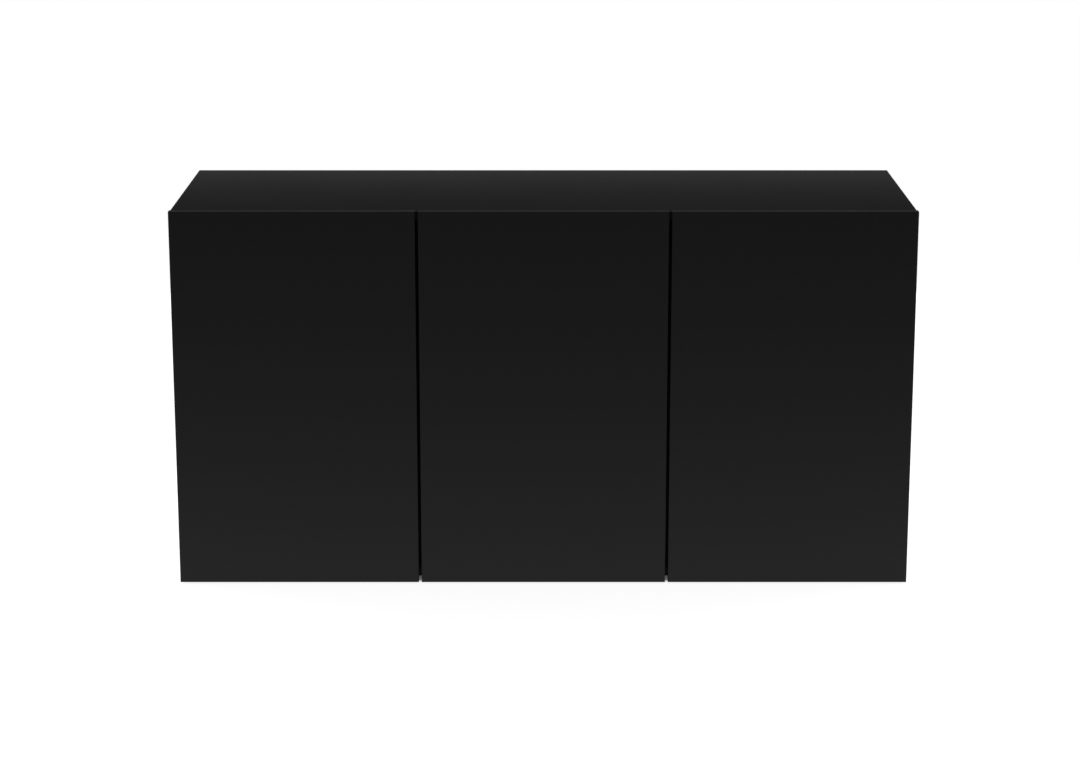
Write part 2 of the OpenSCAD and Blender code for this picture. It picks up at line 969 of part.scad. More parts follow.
top_panel();
bottom_panel();
left_side_panel();
right_side_panel();
left_partition();
right_partition();
left_back_panel();
centre_back_panel();
right_back_panel();
left_shelf();
right_shelf();
shelf_pins();
cam_locks();
cam_bolts();
wood_dowels();
glide_feet();
foot_screws();
left_hinge_arms();
centre_hinge_arms();
right_hinge_arms();
left_mounting_plates();
centre_mounting_plates();
right_mounting_plates();
plate_screws();
arm_screws();
left_latch_housing();
centre_latch_housing();
right_latch_housing();
left_latch_spring();
centre_latch_spring();
right_latch_spring();
latch_screws();
left_door();
centre_door();
right_door();
left_hinge_cups();
centre_hinge_cups();
right_hinge_cups();
left_hinge_pins();
centre_hinge_pins();
right_hinge_pins();
left_cup_screws();
centre_cup_screws();
right_cup_screws();
left_strike_plate();
centre_strike_plate();
right_strike_plate();
left_strike_screw();
centre_strike_screw();
right_strike_screw();
left_latch_plunger();
centre_latch_plunger();
right_latch_plunger();
left_latch_tip();
centre_latch_tip();
right_latch_tip();
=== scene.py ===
"""Looks of the aquarium stand cabinet: black melamine boards, push-to-open doors, hinges and latches.

Metres. The frame gives every place: +X to the right, the doors face -Y, +Z up, floor at z = 0.
"""
import json
from math import pi, radians

import bmesh
import bpy
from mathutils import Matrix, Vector


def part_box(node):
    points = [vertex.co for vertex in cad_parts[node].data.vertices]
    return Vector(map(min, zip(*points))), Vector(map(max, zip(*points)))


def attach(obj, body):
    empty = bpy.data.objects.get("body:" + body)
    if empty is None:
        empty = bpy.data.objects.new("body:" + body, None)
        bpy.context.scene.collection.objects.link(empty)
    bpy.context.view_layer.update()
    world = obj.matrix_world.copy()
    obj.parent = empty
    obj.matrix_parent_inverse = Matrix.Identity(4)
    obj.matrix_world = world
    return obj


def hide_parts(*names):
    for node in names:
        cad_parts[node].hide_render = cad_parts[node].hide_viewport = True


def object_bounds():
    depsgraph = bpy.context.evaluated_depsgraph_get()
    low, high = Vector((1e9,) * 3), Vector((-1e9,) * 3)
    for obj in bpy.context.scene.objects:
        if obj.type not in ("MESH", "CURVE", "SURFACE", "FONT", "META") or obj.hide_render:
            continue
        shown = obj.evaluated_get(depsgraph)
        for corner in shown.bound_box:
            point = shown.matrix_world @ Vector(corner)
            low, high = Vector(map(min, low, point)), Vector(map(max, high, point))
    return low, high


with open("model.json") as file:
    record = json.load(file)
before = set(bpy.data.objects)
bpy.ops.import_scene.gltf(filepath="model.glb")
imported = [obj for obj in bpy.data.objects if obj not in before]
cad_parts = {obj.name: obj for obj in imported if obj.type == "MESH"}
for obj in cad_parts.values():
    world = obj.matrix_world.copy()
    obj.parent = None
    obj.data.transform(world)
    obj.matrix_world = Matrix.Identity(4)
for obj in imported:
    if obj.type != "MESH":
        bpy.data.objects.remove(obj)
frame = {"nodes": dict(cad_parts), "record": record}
cad_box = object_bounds()

SIDES = ("left", "centre", "right")
UPRIGHTS = ("left_side_panel", "right_side_panel", "left_partition", "right_partition")
SLOT_OF = {part["node"]: part["material_slot"] for part in frame["record"]["subparts"]}
BODY_OF = {node: body for body, nodes in frame["record"]["behaviour"]["bodies"].items() for node in nodes}

AXES = range(3)
X_AXIS, Y_AXIS, Z_AXIS = AXES
RIGHT, BACK, UP = Vector((1, 0, 0)), Vector((0, 1, 0)), Vector((0, 0, 1))
EIGHTH_TURN, QUARTER_TURN = radians(45), radians(90)
NO_TURN = (0.0, 0.0, 0.0)

MM = 0.001
MERGE_DISTANCE = 0.001 * MM
PLANE_TOLERANCE = 0.01 * MM
FLAT_ANGLE = radians(0.5)
SHARP_ANGLE = radians(35)


# Node trees written as Python

class Socket:
    """An output of a node that takes part in arithmetic: each operator adds a Math node."""

    def __init__(self, tree, socket):
        self.tree = tree
        self.socket = socket

    def math(self, operation, first, second):
        return self.tree.add("ShaderNodeMath", {0: first, 1: second}, operation=operation)

    def __add__(self, other):
        return self.math("ADD", self, other)

    def __radd__(self, other):
        return self.math("ADD", other, self)

    def __sub__(self, other):
        return self.math("SUBTRACT", self, other)

    def __rsub__(self, other):
        return self.math("SUBTRACT", other, self)

    def __mul__(self, other):
        return self.math("MULTIPLY", self, other)

    def __rmul__(self, other):
        return self.math("MULTIPLY", other, self)

    def __truediv__(self, other):
        return self.math("DIVIDE", self, other)

    def __neg__(self):
        return self.math("MULTIPLY", self, -1.0)

    def larger(self, other):
        return self.math("MAXIMUM", self, other)


class Tree:
    """A node tree that is filled node by node."""

    def __init__(self, tree):
        self.tree = tree

    def add(self, kind, sockets=None, output=0, stops=None, **settings):
        """Adds a node, sets its properties and ramp stops, then its sockets, and gives one output.

        A list of sockets feeds an input that takes several.
        """
        node = self.tree.nodes.new(kind)
        for name, value in settings.items():
            setattr(node, name, value)
        if stops:
            ramp = node.color_ramp.elements
            while len(ramp) < len(stops):
                ramp.new(1.0)
            for element, (place, colour) in zip(ramp, stops):
                element.position = place
                element.color = colour
        for key, value in (sockets or {}).items():
            links = value if isinstance(value, list) else [value]
            if all(isinstance(item, Socket) for item in links):
                for item in links:
                    self.tree.links.new(item.socket, node.inputs[key])
            else:
                node.inputs[key].default_value = value
        return Socket(self, node.outputs[output]) if node.outputs else node

    def blend(self, share, first, second):
        """Mixes two colours."""
        return self.add("ShaderNodeMix", {0: share, 6: first, 7: second}, output=2, data_type="RGBA")


def emptied_tree(owner):
    """The node tree of a new material or world, with nothing in it."""
    owner.use_nodes = True
    owner.node_tree.nodes.clear()
    return owner.node_tree


class Finish(Tree):
    """A material with one Principled shader, on Object coordinates."""

    def __init__(self, name):
        self.material = bpy.data.materials.new(name)
        super().__init__(emptied_tree(self.material))
        self.place = self.add("ShaderNodeTexCoord", output="Object")

    def stretched(self, x, y, z):
        """Object coordinates stretched by a factor along each axis."""
        return self.add("ShaderNodeMapping", {"Vector": self.place, "Scale": (x, y, z)})

    def noise(self, scale, detail, place=None):
        sockets = {"Vector": place or self.place, "Scale": scale, "Detail": detail}
        return self.add("ShaderNodeTexNoise", sockets, output="Fac")

    def flakes(self, scale, place):
        """Cells of a random tone each."""
        cells = self.add("ShaderNodeTexVoronoi", {"Vector": place, "Scale": scale}, output="Color")
        return self.add("ShaderNodeRGBToBW", {"Color": cells})

    def bump(self, height, depth, strength):
        return self.add("ShaderNodeBump", {"Height": height, "Distance": depth, "Strength": strength})

    def done(self, **sockets):
        """Closes the material: each keyword is a Principled socket, with _ for spaces."""
        named = {key.replace("_", " "): value for key, value in sockets.items()}
        shader = self.add("ShaderNodeBsdfPrincipled", named)
        self.add("ShaderNodeOutputMaterial", {"Surface": shader})
        return self.material


# Finishes

def grey(level):
    return (level, level, level, 1.0)


# The darker and the lighter tone that each finish moves between
MELAMINE_TONES = grey(0.0105), grey(0.0150)
# Inner faces painted lighter than the outer paper: painted light inside the cabinet
INNER_PAINTED_LIGHT_TONES = grey(0.0220), grey(0.0290)
EDGING_TONES = grey(0.0180), grey(0.0220)
# Edging painted near black as painted shade, for the upright edges that face the gaps between the doors
PAINTED_GAP_SHADE_TONES = grey(0.0040), grey(0.0060)
SHEET_TONES = grey(0.0120), grey(0.0190)
PLASTIC_TONES = grey(0.020), grey(0.028)
RUBBER_TONES = grey(0.014), grey(0.034)
FIBRE_TONES = (0.090, 0.052, 0.028, 1.0), (0.200, 0.125, 0.070, 1.0)
NICKEL_TONES = (0.50, 0.49, 0.47, 1.0), (0.66, 0.65, 0.62, 1.0)
ZINC_TONES = (0.36, 0.36, 0.37, 1.0), (0.52, 0.52, 0.53, 1.0)
BEECH_TONES = (0.42, 0.27, 0.14, 1.0), (0.66, 0.48, 0.29, 1.0)
DARK_CHIP, MIDDLE_CHIP = (0.16, 0.095, 0.045, 1.0), (0.34, 0.22, 0.115, 1.0)
PALE_CHIP = (0.50, 0.37, 0.22, 1.0)


def black_melamine():
    """Matte black decor paper: fine pearl grain with faint clouds in its sheen."""
    look = Finish("black_melamine")
    pearl = look.noise(scale=1500.0, detail=2.0)
    cloud = look.noise(scale=5.0, detail=3.0)
    return look.done(
        Base_Color=look.blend(pearl, *MELAMINE_TONES), Roughness=0.80 + 0.10 * cloud + 0.04 * pearl,
        Specular_IOR_Level=0.006, Normal=look.bump(pearl, depth=0.05 * MM, strength=0.35))


def inner_melamine():
    """Black decor paper of the inner faces: smoother than the outer one, with a satin sheen, and its colour
    painted lighter than the outer paper's as painted light inside the cabinet.
    """
    look = Finish("inner_melamine")
    pearl = look.noise(scale=1100.0, detail=2.0)
    cloud = look.noise(scale=5.0, detail=3.0)
    return look.done(
        Base_Color=look.blend(pearl, *INNER_PAINTED_LIGHT_TONES), Roughness=0.40 + 0.12 * cloud + 0.06 * pearl,
        Specular_IOR_Level=0.22, Normal=look.bump(pearl, depth=0.05 * MM, strength=0.25))


def black_edging(name, tones):
    """Satin edge band, glued round the boards: smoother than the faces, with faint waves."""
    look = Finish(name)
    skin = look.noise(scale=900.0, detail=1.0)
    wave = look.noise(scale=40.0, detail=2.0)
    return look.done(
        Base_Color=look.blend(skin, *tones), Roughness=0.70 + 0.12 * wave,
        Specular_IOR_Level=0.010, Normal=look.bump(wave + 0.3 * skin, depth=0.05 * MM, strength=0.3))


def raw_chipboard():
    """Bare core of the boards inside bores and grooves: pressed chips of mixed browns."""
    look = Finish("raw_chipboard")
    chips = look.flakes(scale=420.0, place=look.stretched(1.0, 0.5, 1.4))
    fines = look.noise(scale=1200.0, detail=4.0)
    wood = look.add("ShaderNodeValToRGB", {"Fac": 0.7 * chips + 0.3 * fines},
                    stops=[(0.15, DARK_CHIP), (0.50, MIDDLE_CHIP), (0.85, PALE_CHIP)])
    return look.done(
        Base_Color=wood, Roughness=0.85,
        Specular_IOR_Level=0.2, Normal=look.bump(fines, depth=0.3 * MM, strength=0.6))


def coated_sheet():
    """Thin black coated fibreboard of the backs: felted fibres under a flat coat."""
    look = Finish("coated_sheet")
    felt = look.noise(scale=700.0, detail=4.0)
    cloud = look.noise(scale=8.0, detail=2.0)
    return look.done(
        Base_Color=look.blend(felt, *SHEET_TONES), Roughness=0.62 + 0.15 * cloud,
        Specular_IOR_Level=0.15, Normal=look.bump(felt, depth=0.1 * MM, strength=0.4))


def raw_fibreboard():
    """Sawn edge of the back sheets: dense brown fibre in layers."""
    look = Finish("raw_fibreboard")
    layers = look.noise(scale=260.0, detail=5.0, place=look.stretched(0.3, 3.0, 0.3))
    return look.done(
        Base_Color=look.blend(layers, *FIBRE_TONES), Roughness=0.9,
        Specular_IOR_Level=0.2, Normal=look.bump(layers, depth=0.2 * MM, strength=0.5))


def nickel_steel():
    """Satin nickel plate on pressed steel: rolled lines, faint clouding."""
    look = Finish("nickel_steel")
    lines = look.noise(scale=300.0, detail=3.0, place=look.stretched(0.15, 0.15, 4.0))
    cloud = look.noise(scale=60.0, detail=3.0)
    return look.done(
        Base_Color=look.blend(cloud, *NICKEL_TONES), Metallic=1.0,
        Roughness=0.24 + 0.10 * cloud + 0.08 * lines, Normal=look.bump(lines, depth=0.02 * MM, strength=0.25))


def cast_zinc():
    """Die cast zinc: dull, with a fine cast skin."""
    look = Finish("cast_zinc")
    skin = look.noise(scale=900.0, detail=4.0)
    return look.done(
        Base_Color=look.blend(skin, *ZINC_TONES), Metallic=1.0,
        Roughness=0.42 + 0.18 * skin, Normal=look.bump(skin, depth=0.04 * MM, strength=0.4))


def black_plastic():
    """Moulded black plastic with a fine spark-eroded grain."""
    look = Finish("black_plastic")
    grain = look.noise(scale=1400.0, detail=2.0)
    cloud = look.noise(scale=35.0, detail=2.0)
    return look.done(
        Base_Color=look.blend(cloud, *PLASTIC_TONES), Roughness=0.42 + 0.14 * cloud,
        Specular_IOR_Level=0.4, Normal=look.bump(grain, depth=0.06 * MM, strength=0.5))


def soft_rubber():
    """Soft black rubber with a dusty bloom."""
    look = Finish("soft_rubber")
    bloom = look.noise(scale=250.0, detail=4.0)
    return look.done(
        Base_Color=look.blend(bloom, *RUBBER_TONES), Roughness=0.72 + 0.16 * bloom,
        Specular_IOR_Level=0.3, Normal=look.bump(bloom, depth=0.05 * MM, strength=0.4))


def raw_beech():
    """Turned beech: straight grain along the dowels."""
    look = Finish("raw_beech")
    grain = look.noise(scale=900.0, detail=4.0, place=look.stretched(1.0, 1.0, 0.06))
    return look.done(
        Base_Color=look.blend(grain, *BEECH_TONES), Roughness=0.66,
        Specular_IOR_Level=0.3, Normal=look.bump(grain, depth=0.1 * MM, strength=0.4))


MELAMINE = black_melamine()
INNER_MELAMINE_PAINTED_LIGHT = inner_melamine()
EDGING = black_edging("black_edging", EDGING_TONES)
# The same edge band with its colour painted much darker: painted shade in the gaps between the doors
PAINTED_GAP_SHADE_EDGING = black_edging("deep_black_edging", PAINTED_GAP_SHADE_TONES)
CHIPBOARD = raw_chipboard()
SHEET = coated_sheet()
FIBREBOARD = raw_fibreboard()
NICKEL = nickel_steel()
ZINC = cast_zinc()
PLASTIC = black_plastic()
RUBBER = soft_rubber()
BEECH = raw_beech()


# Making and placing pieces

def stand_for(piece, node):
    """Lets a finished piece take the place of a CAD node."""
    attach(piece, BODY_OF[node])
    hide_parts(node)


def link(name, mesh, *materials):
    """A new object at the origin with the given mesh and materials."""
    piece = bpy.data.objects.new(name, mesh)
    bpy.context.scene.collection.objects.link(piece)
    for material in materials:
        mesh.materials.append(material)
    return piece


def whole_faces(node):
    """A bmesh of a CAD node with its loose triangles merged into whole faces."""
    bm = bmesh.new()
    bm.from_mesh(frame["nodes"][node].data)
    bmesh.ops.remove_doubles(bm, verts=bm.verts, dist=MERGE_DISTANCE)
    bmesh.ops.dissolve_limit(bm, angle_limit=FLAT_ANGLE, verts=bm.verts, edges=bm.edges)
    return bm


def as_mesh(bm, name):
    mesh = bpy.data.meshes.new(name)
    bm.to_mesh(mesh)
    bm.free()
    return mesh


def smooth_by_angle(mesh):
    mesh.shade_smooth()
    mesh.set_sharp_from_angle(angle=SHARP_ANGLE)


# Boards

BOARD_EDGE_RADIUS = 0.5 * MM
SHEET_EDGE_RADIUS = 0.3 * MM
EDGE_SEGMENTS = 3
ROUND_PROFILE = 0.5
# Faces this near to the outside of the cabinet carry the outer finish; the others carry the inner finish,
# whose colour is painted lighter as painted light inside the cabinet
OUTSIDE_REACH = 15 * MM
# Order of a board's finishes
OUTER_SKIN, LEVEL_BAND, UPRIGHT_BAND, CORE, INNER_SKIN = range(5)
# The upright edges of the uprights and doors take the edging painted near black, as painted shade in the gaps
UPRIGHT_BOARD = (MELAMINE, EDGING, PAINTED_GAP_SHADE_EDGING, CHIPBOARD, INNER_MELAMINE_PAINTED_LIGHT)
LEVEL_BOARD = (MELAMINE, EDGING, EDGING, CHIPBOARD, INNER_MELAMINE_PAINTED_LIGHT)
BACK_SHEET = (SHEET, FIBREBOARD, FIBREBOARD, FIBREBOARD, INNER_MELAMINE_PAINTED_LIGHT)


def outer_planes(verts, low, high):
    """The axes along which all corners of an edge or face lie on one same side of a box."""
    points = [vert.co for vert in verts]
    axes = set()
    for axis in AXES:
        for side in (low, high):
            if all(abs(point[axis] - side[axis]) < PLANE_TOLERANCE for point in points):
                axes.add(axis)
    return axes


def dressed_board(node, radius, finishes):
    """A board with softened outer edges: skinned faces, banded edges and bare core in its bores."""
    low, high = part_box(node)
    size = high - low
    thin = min(AXES, key=lambda axis: size[axis])
    bm = whole_faces(node)
    outer_edges = [edge for edge in bm.edges if len(outer_planes(edge.verts, low, high)) > 1]
    bmesh.ops.bevel(bm, geom=outer_edges, offset=radius, segments=EDGE_SEGMENTS, profile=ROUND_PROFILE,
                    affect="EDGES")
    for face in bm.faces:
        planes = outer_planes(face.verts, low, high)
        middle = face.calc_center_median()
        rims = [axis for axis in AXES
                if axis != thin and min(middle[axis] - low[axis], high[axis] - middle[axis]) < radius]
        outside = min(middle[thin] - cad_box[0][thin], cad_box[1][thin] - middle[thin]) < OUTSIDE_REACH
        if thin in planes:
            face.material_index = OUTER_SKIN if outside else INNER_SKIN
        elif rims:
            face.material_index = LEVEL_BAND if Z_AXIS in rims else UPRIGHT_BAND
        else:
            face.material_index = CORE
        face.smooth = not planes
    stand_for(link(node + "_dressed", as_mesh(bm, node), *finishes), node)


for board in (*UPRIGHTS, "left_door", "centre_door", "right_door"):
    dressed_board(board, BOARD_EDGE_RADIUS, UPRIGHT_BOARD)
for board in ("top_panel", "bottom_panel", "left_shelf", "right_shelf"):
    dressed_board(board, BOARD_EDGE_RADIUS, LEVEL_BOARD)
for side in SIDES:
    dressed_board(side + "_back_panel", SHEET_EDGE_RADIUS, BACK_SHEET)


# Hardware: places from the frame

SORT_DIGITS = 4


def corners_of(points):
    return (Vector([min(point[axis] for point in points) for axis in AXES]),
            Vector([max(point[axis] for point in points) for axis in AXES]))


def middle_of(points):
    low, high = corners_of(points)
    return (low + high) / 2


def along(axis, points):
    """Length of a solid along an axis."""
    low, high = corners_of(points)
    return high[axis] - low[axis]


def solids_of(node):
    """The points of each separate solid of a CAD node, from left to right, front to back, bottom to top."""
    bm = whole_faces(node)
    left = set(bm.verts)
    solids = []
    while left:
        reached = [left.pop()]
        for vert in reached:
            near = {edge.other_vert(vert) for edge in vert.link_edges} & left
            reached.extend(near)
            left -= near
        solids.append([vert.co.copy() for vert in reached])
    bm.free()
    return sorted(solids, key=lambda points: [round(value, SORT_DIGITS) for value in middle_of(points)])


def spread(points, axis, level):
    """Width of a solid across an axis, at one level along it."""
    across = [point[(axis + 1) % 3] for point in points if abs(point[axis] - level) < PLANE_TOLERANCE]
    return max(across) - min(across) if across else 0.0


def wide_end(points, axis):
    """Middle of the wider end of a solid along an axis, and the direction out of that end."""
    low, high = corners_of(points)
    at_high = spread(points, axis, high[axis]) > spread(points, axis, low[axis])
    place = (low + high) / 2
    place[axis] = high[axis] if at_high else low[axis]
    aim = Vector((0, 0, 0))
    aim[axis] = 1 if at_high else -1
    return place, aim


def underside(points):
    """Middle of the underside of a solid."""
    place = middle_of(points)
    place.z = corners_of(points)[0].z
    return place


# Hardware: shapes that repeat, as Geometry Nodes

ROUND_SIDES = 32
DOME_RINGS = 16
RIDGE_SIDES = 3
THREAD_STEPS = 16
# The windings start a little off the seams of their cores
WINDING_START = radians(5)
FOOT_RIBS = 40
FOOT_RIB_CIRCLE = 0.1 * MM
DOWEL_FLUTES = 24
PIN_END_BEVEL = 0.5 * MM
PIN_NOSE_SLOPE = radians(35)
SPRING_WIRE = 1.0 * MM
SPRING_TURNS = 8.0
SPRING_STEPS = 24
WIRE_SIDES = 10


class Shape(Tree):
    """Geometry Nodes that make one small shape and set a copy of it at each point of a mesh."""

    def __init__(self, name):
        super().__init__(bpy.data.node_groups.new(name, "GeometryNodeTree"))
        self.tree.interface.new_socket("Places", in_out="INPUT", socket_type="NodeSocketGeometry")
        self.tree.interface.new_socket("Copies", in_out="OUTPUT", socket_type="NodeSocketGeometry")
        self.inlet = self.tree.nodes.new("NodeGroupInput")

    def sizes(self, *names):
        """Sizes that each use of the shape sets."""
        for name in names:
            self.tree.interface.new_socket(name, in_out="INPUT", socket_type="NodeSocketFloat")
        return [Socket(self, self.inlet.outputs[name]) for name in names]

    def vector(self, x=0.0, y=0.0, z=0.0):
        return self.add("ShaderNodeCombineXYZ", {"X": x, "Y": y, "Z": z})

    def moved(self, shape, place, turn=NO_TURN):
        sockets = {"Geometry": shape, "Translation": place, "Rotation": turn}
        return self.add("GeometryNodeTransform", sockets)

    def merged(self, shape):
        """Closes the seams between points that lie together."""
        return self.add("GeometryNodeMergeByDistance", {"Geometry": shape, "Distance": MERGE_DISTANCE})

    def turned(self, *outline):
        """A closed round shape: radius and level of each corner of its outline, upwards from axis to axis."""
        walls = []
        for (low_radius, low), (high_radius, high) in zip(outline, outline[1:]):
            sockets = {"Vertices": ROUND_SIDES, "Radius Bottom": low_radius, "Radius Top": high_radius,
                       "Depth": high - low}
            wall = self.add("GeometryNodeMeshCone", sockets, fill_type="NONE")
            walls.append(self.moved(wall, self.vector(z=low)))
        return self.merged(self.add("GeometryNodeJoinGeometry", {"Geometry": walls}))

    def rod(self, radius, low, high):
        return self.turned((0.0, low), (radius, low), (radius, high), (0.0, high))

    def box(self, width, depth, height, place, turn=NO_TURN):
        cube = self.add("GeometryNodeMeshCube", {"Size": self.vector(width, depth, height)})
        return self.moved(cube, place, turn)

    def cross(self, length, width, depth, level=0.0):
        """Two crossed bars for a driver recess, sunk by depth under a level."""
        place = self.vector(z=level)
        bars = [self.box(length, width, 2 * depth, place), self.box(width, length, 2 * depth, place)]
        return self.fused(bars)

    def cut(self, shape, tools):
        sockets = {"Mesh 1": shape, "Mesh 2": tools}
        return self.merged(
            self.add("GeometryNodeMeshBoolean", sockets, operation="DIFFERENCE", solver="MANIFOLD"))

    def fused(self, shapes):
        sockets = {"Mesh 2": shapes}
        return self.merged(
            self.add("GeometryNodeMeshBoolean", sockets, operation="UNION", solver="MANIFOLD"))

    def circle(self, radius, points):
        return self.add("GeometryNodeCurvePrimitiveCircle", {"Resolution": points, "Radius": radius})

    def swept(self, path, profile):
        sockets = {"Curve": path, "Profile Curve": profile, "Fill Caps": True}
        return self.add("GeometryNodeCurveToMesh", sockets)

    def helix(self, radius, low, high, turns, steps):
        sockets = {"Resolution": steps, "Rotations": turns, "Start Radius": radius, "End Radius": radius,
                   "Height": high - low}
        winding = self.add("GeometryNodeCurveSpiral", sockets)
        return self.moved(winding, self.vector(z=low), (0.0, 0.0, WINDING_START))

    def thread(self, core, outer, low, high, pitch):
        """A screw thread: a three-sided ridge wound round a core."""
        winding = self.helix(core, low, high, (high - low) / pitch, THREAD_STEPS)
        ridge = self.swept(winding, self.circle(outer - core, RIDGE_SIDES))
        return self.add("GeometryNodeTriangulate", {"Mesh": ridge})

    def done(self, shape):
        """Sets the copies: +Z of the shape along each place's aim, its +X along each place's side."""
        self.tree.interface.new_socket("Finish", in_out="INPUT", socket_type="NodeSocketMaterial")
        places, finish = (Socket(self, self.inlet.outputs[name]) for name in ("Places", "Finish"))
        aim, side = (self.add("GeometryNodeInputNamedAttribute", {"Name": name}, data_type="FLOAT_VECTOR")
                     for name in ("aim", "side"))
        raised = self.add("FunctionNodeAlignRotationToVector", {"Vector": aim}, axis="Z")
        turned = self.add("FunctionNodeAlignRotationToVector", {"Rotation": raised, "Vector": side},
                          axis="X", pivot_axis="Z")
        instances = self.add("GeometryNodeInstanceOnPoints",
                             {"Points": places, "Instance": shape, "Rotation": turned})
        real = self.add("GeometryNodeRealizeInstances", {"Geometry": instances})
        finished = self.add("GeometryNodeSetMaterial", {"Geometry": real, "Material": finish})
        self.add("NodeGroupOutput", {"Copies": finished})
        return self.tree


def wood_screw():
    """Countersunk screw: head at the origin with a cross recess, threaded shank along -Z, pointed tip."""
    make = Shape("wood_screw")
    head, shank, length = make.sizes("Head diameter", "Shank diameter", "Length")
    core = 0.36 * shank
    neck = (shank - head) / 2
    tip = shank - length
    blank = make.turned((0.0, -length), (core, tip), (core, neck), (head / 2, 0.0), (0.0, 0.0))
    thread = make.thread(core, shank / 2, tip, neck, pitch=0.4 * shank)
    recess = make.cross(length=0.55 * head, width=0.14 * head, depth=0.13 * head)
    return make.done(make.cut(make.fused([blank, thread]), [recess]))


def cam_lock():
    """Cam of a knock-down joint: open face at +Z with a cross recess and a pointer to its bolt along +X."""
    make = Shape("cam_lock")
    width, height = make.sizes("Diameter", "Height")
    radius = width / 2
    rim = 0.04 * width
    ring_outer, ring_inner, ring_depth = 0.44 * width, 0.38 * width, 0.03 * width
    ring_centre = 0.1 * width
    bolt_radius, bolt_level = 0.27 * width, -0.56 * height
    body = make.turned((0.0, -height), (radius, -height), (radius, -rim), (radius - rim, 0.0), (0.0, 0.0))
    ring = make.cut(make.rod(ring_outer, -ring_depth, ring_depth),
                    [make.rod(ring_inner, -ring_centre, ring_centre)])
    pointer = make.box(0.05 * width, 0.16 * width, 2 * ring_depth, make.vector(x=0.34 * width))
    bolt_way = make.moved(make.rod(bolt_radius, -0.2 * width, width), make.vector(z=bolt_level),
                          (0.0, QUARTER_TURN, 0.0))
    recess = make.moved(make.cross(length=0.53 * width, width=0.11 * width, depth=0.17 * width),
                        make.vector(), (0.0, 0.0, EIGHTH_TURN))
    return make.done(make.cut(body, [ring, pointer, bolt_way, recess]))


def glide_foot():
    """Glide foot: sole at +Z with a rounded rim, a sunk screw hole and grip ribs round its side."""
    make = Shape("glide_foot")
    width, height, hole = make.sizes("Diameter", "Height", "Screw hole diameter")
    radius = 0.485 * width
    rim = 0.15 * height
    dish_floor, dish_mouth = -0.06 * height, 0.1 * height
    disc = make.turned((0.0, -height), (radius, -height), (radius, -rim), (radius - rim, 0.0), (0.0, 0.0))
    dish = make.turned((0.0, dish_floor), (0.30 * width, dish_floor), (0.32 * width, dish_mouth),
                       (0.0, dish_mouth))
    head_hole = make.rod(hole / 2, -0.5 * height, height)
    shank_hole = make.rod(hole / 4, -2 * height, 0.0)
    rib = make.box(0.03 * width, 0.035 * width, 0.55 * height, make.vector(x=radius, z=-0.55 * height))
    ring = make.add("GeometryNodeMeshCircle", {"Vertices": FOOT_RIBS, "Radius": FOOT_RIB_CIRCLE})
    turn = make.vector(z=make.add("GeometryNodeInputIndex") * (2 * pi / FOOT_RIBS))
    ribs = make.add("GeometryNodeInstanceOnPoints", {"Points": ring, "Instance": rib, "Rotation": turn})
    real_ribs = make.add("GeometryNodeRealizeInstances", {"Geometry": ribs})
    return make.done(make.fused([make.cut(disc, [dish, head_hole, shank_hole]), real_ribs]))


def shelf_pin():
    """Shelf pin: a rod into the board along -Z, a collar, and a flat tab under the shelf at +X."""
    make = Shape("shelf_pin")
    width, sunk, reach = make.sizes("Diameter", "Depth in the board", "Reach")
    radius = width / 2
    front = reach - PIN_END_BEVEL
    rod = make.turned((0.0, -sunk), (0.4 * width, -sunk), (radius, PIN_END_BEVEL - sunk), (radius, front),
                      (0.0, front))
    collar = make.rod(0.62 * width, 0.0, 0.15 * width)
    tab = make.box(0.6 * width, 2 * width, 0.94 * reach, make.vector(x=0.3 * width, z=0.5 * reach))
    nose = make.box(width, 2 * width, 0.3 * reach, make.vector(x=0.25 * width, z=1.04 * reach),
                    (0.0, PIN_NOSE_SLOPE, 0.0))
    return make.done(make.cut(make.fused([rod, collar, tab]), [nose]))


def fluted_dowel():
    """Wood dowel from the origin along +Z: fluted side, chamfered ends."""
    make = Shape("fluted_dowel")
    width, length = make.sizes("Diameter", "Length")
    chamfer = 0.12 * width
    flute_end = 0.9 * chamfer
    end_radius, core = 0.38 * width, 0.45 * width
    star = {"Points": DOWEL_FLUTES, "Inner Radius": 0.46 * width, "Outer Radius": width / 2}
    flutes = make.add("GeometryNodeCurveStar", star, output="Curve")
    line = make.add("GeometryNodeCurvePrimitiveLine", {"Start": make.vector(z=flute_end),
                                                       "End": make.vector(z=length - flute_end)})
    stick = make.turned((0.0, 0.0), (end_radius, 0.0), (core, chamfer), (core, length - chamfer),
                        (end_radius, length), (0.0, length))
    return make.done(make.fused([make.swept(line, flutes), stick]))


def cam_bolt():
    """Bolt of a knock-down joint: head at the origin, neck, collar, then a thread along -Z."""
    make = Shape("cam_bolt")
    width, length, thread_length = make.sizes("Head diameter", "Length", "Thread length")
    head, neck, collar, core = 0.5 * width, 0.32 * width, 0.43 * width, 0.26 * width
    head_low = -0.57 * width
    neck_low = 2 * head_low
    thread_high = thread_length - length
    blank = make.turned(
        (0.0, -length), (core, -length), (core, thread_high), (collar, thread_high), (collar, neck_low),
        (neck, neck_low), (neck, head_low), (head, head_low), (head, -0.2 * width), (0.42 * width, 0.0),
        (0.0, 0.0))
    thread = make.thread(core, 0.36 * width, 0.1 * width - length, thread_high, pitch=0.2 * width)
    return make.done(make.fused([blank, thread]))


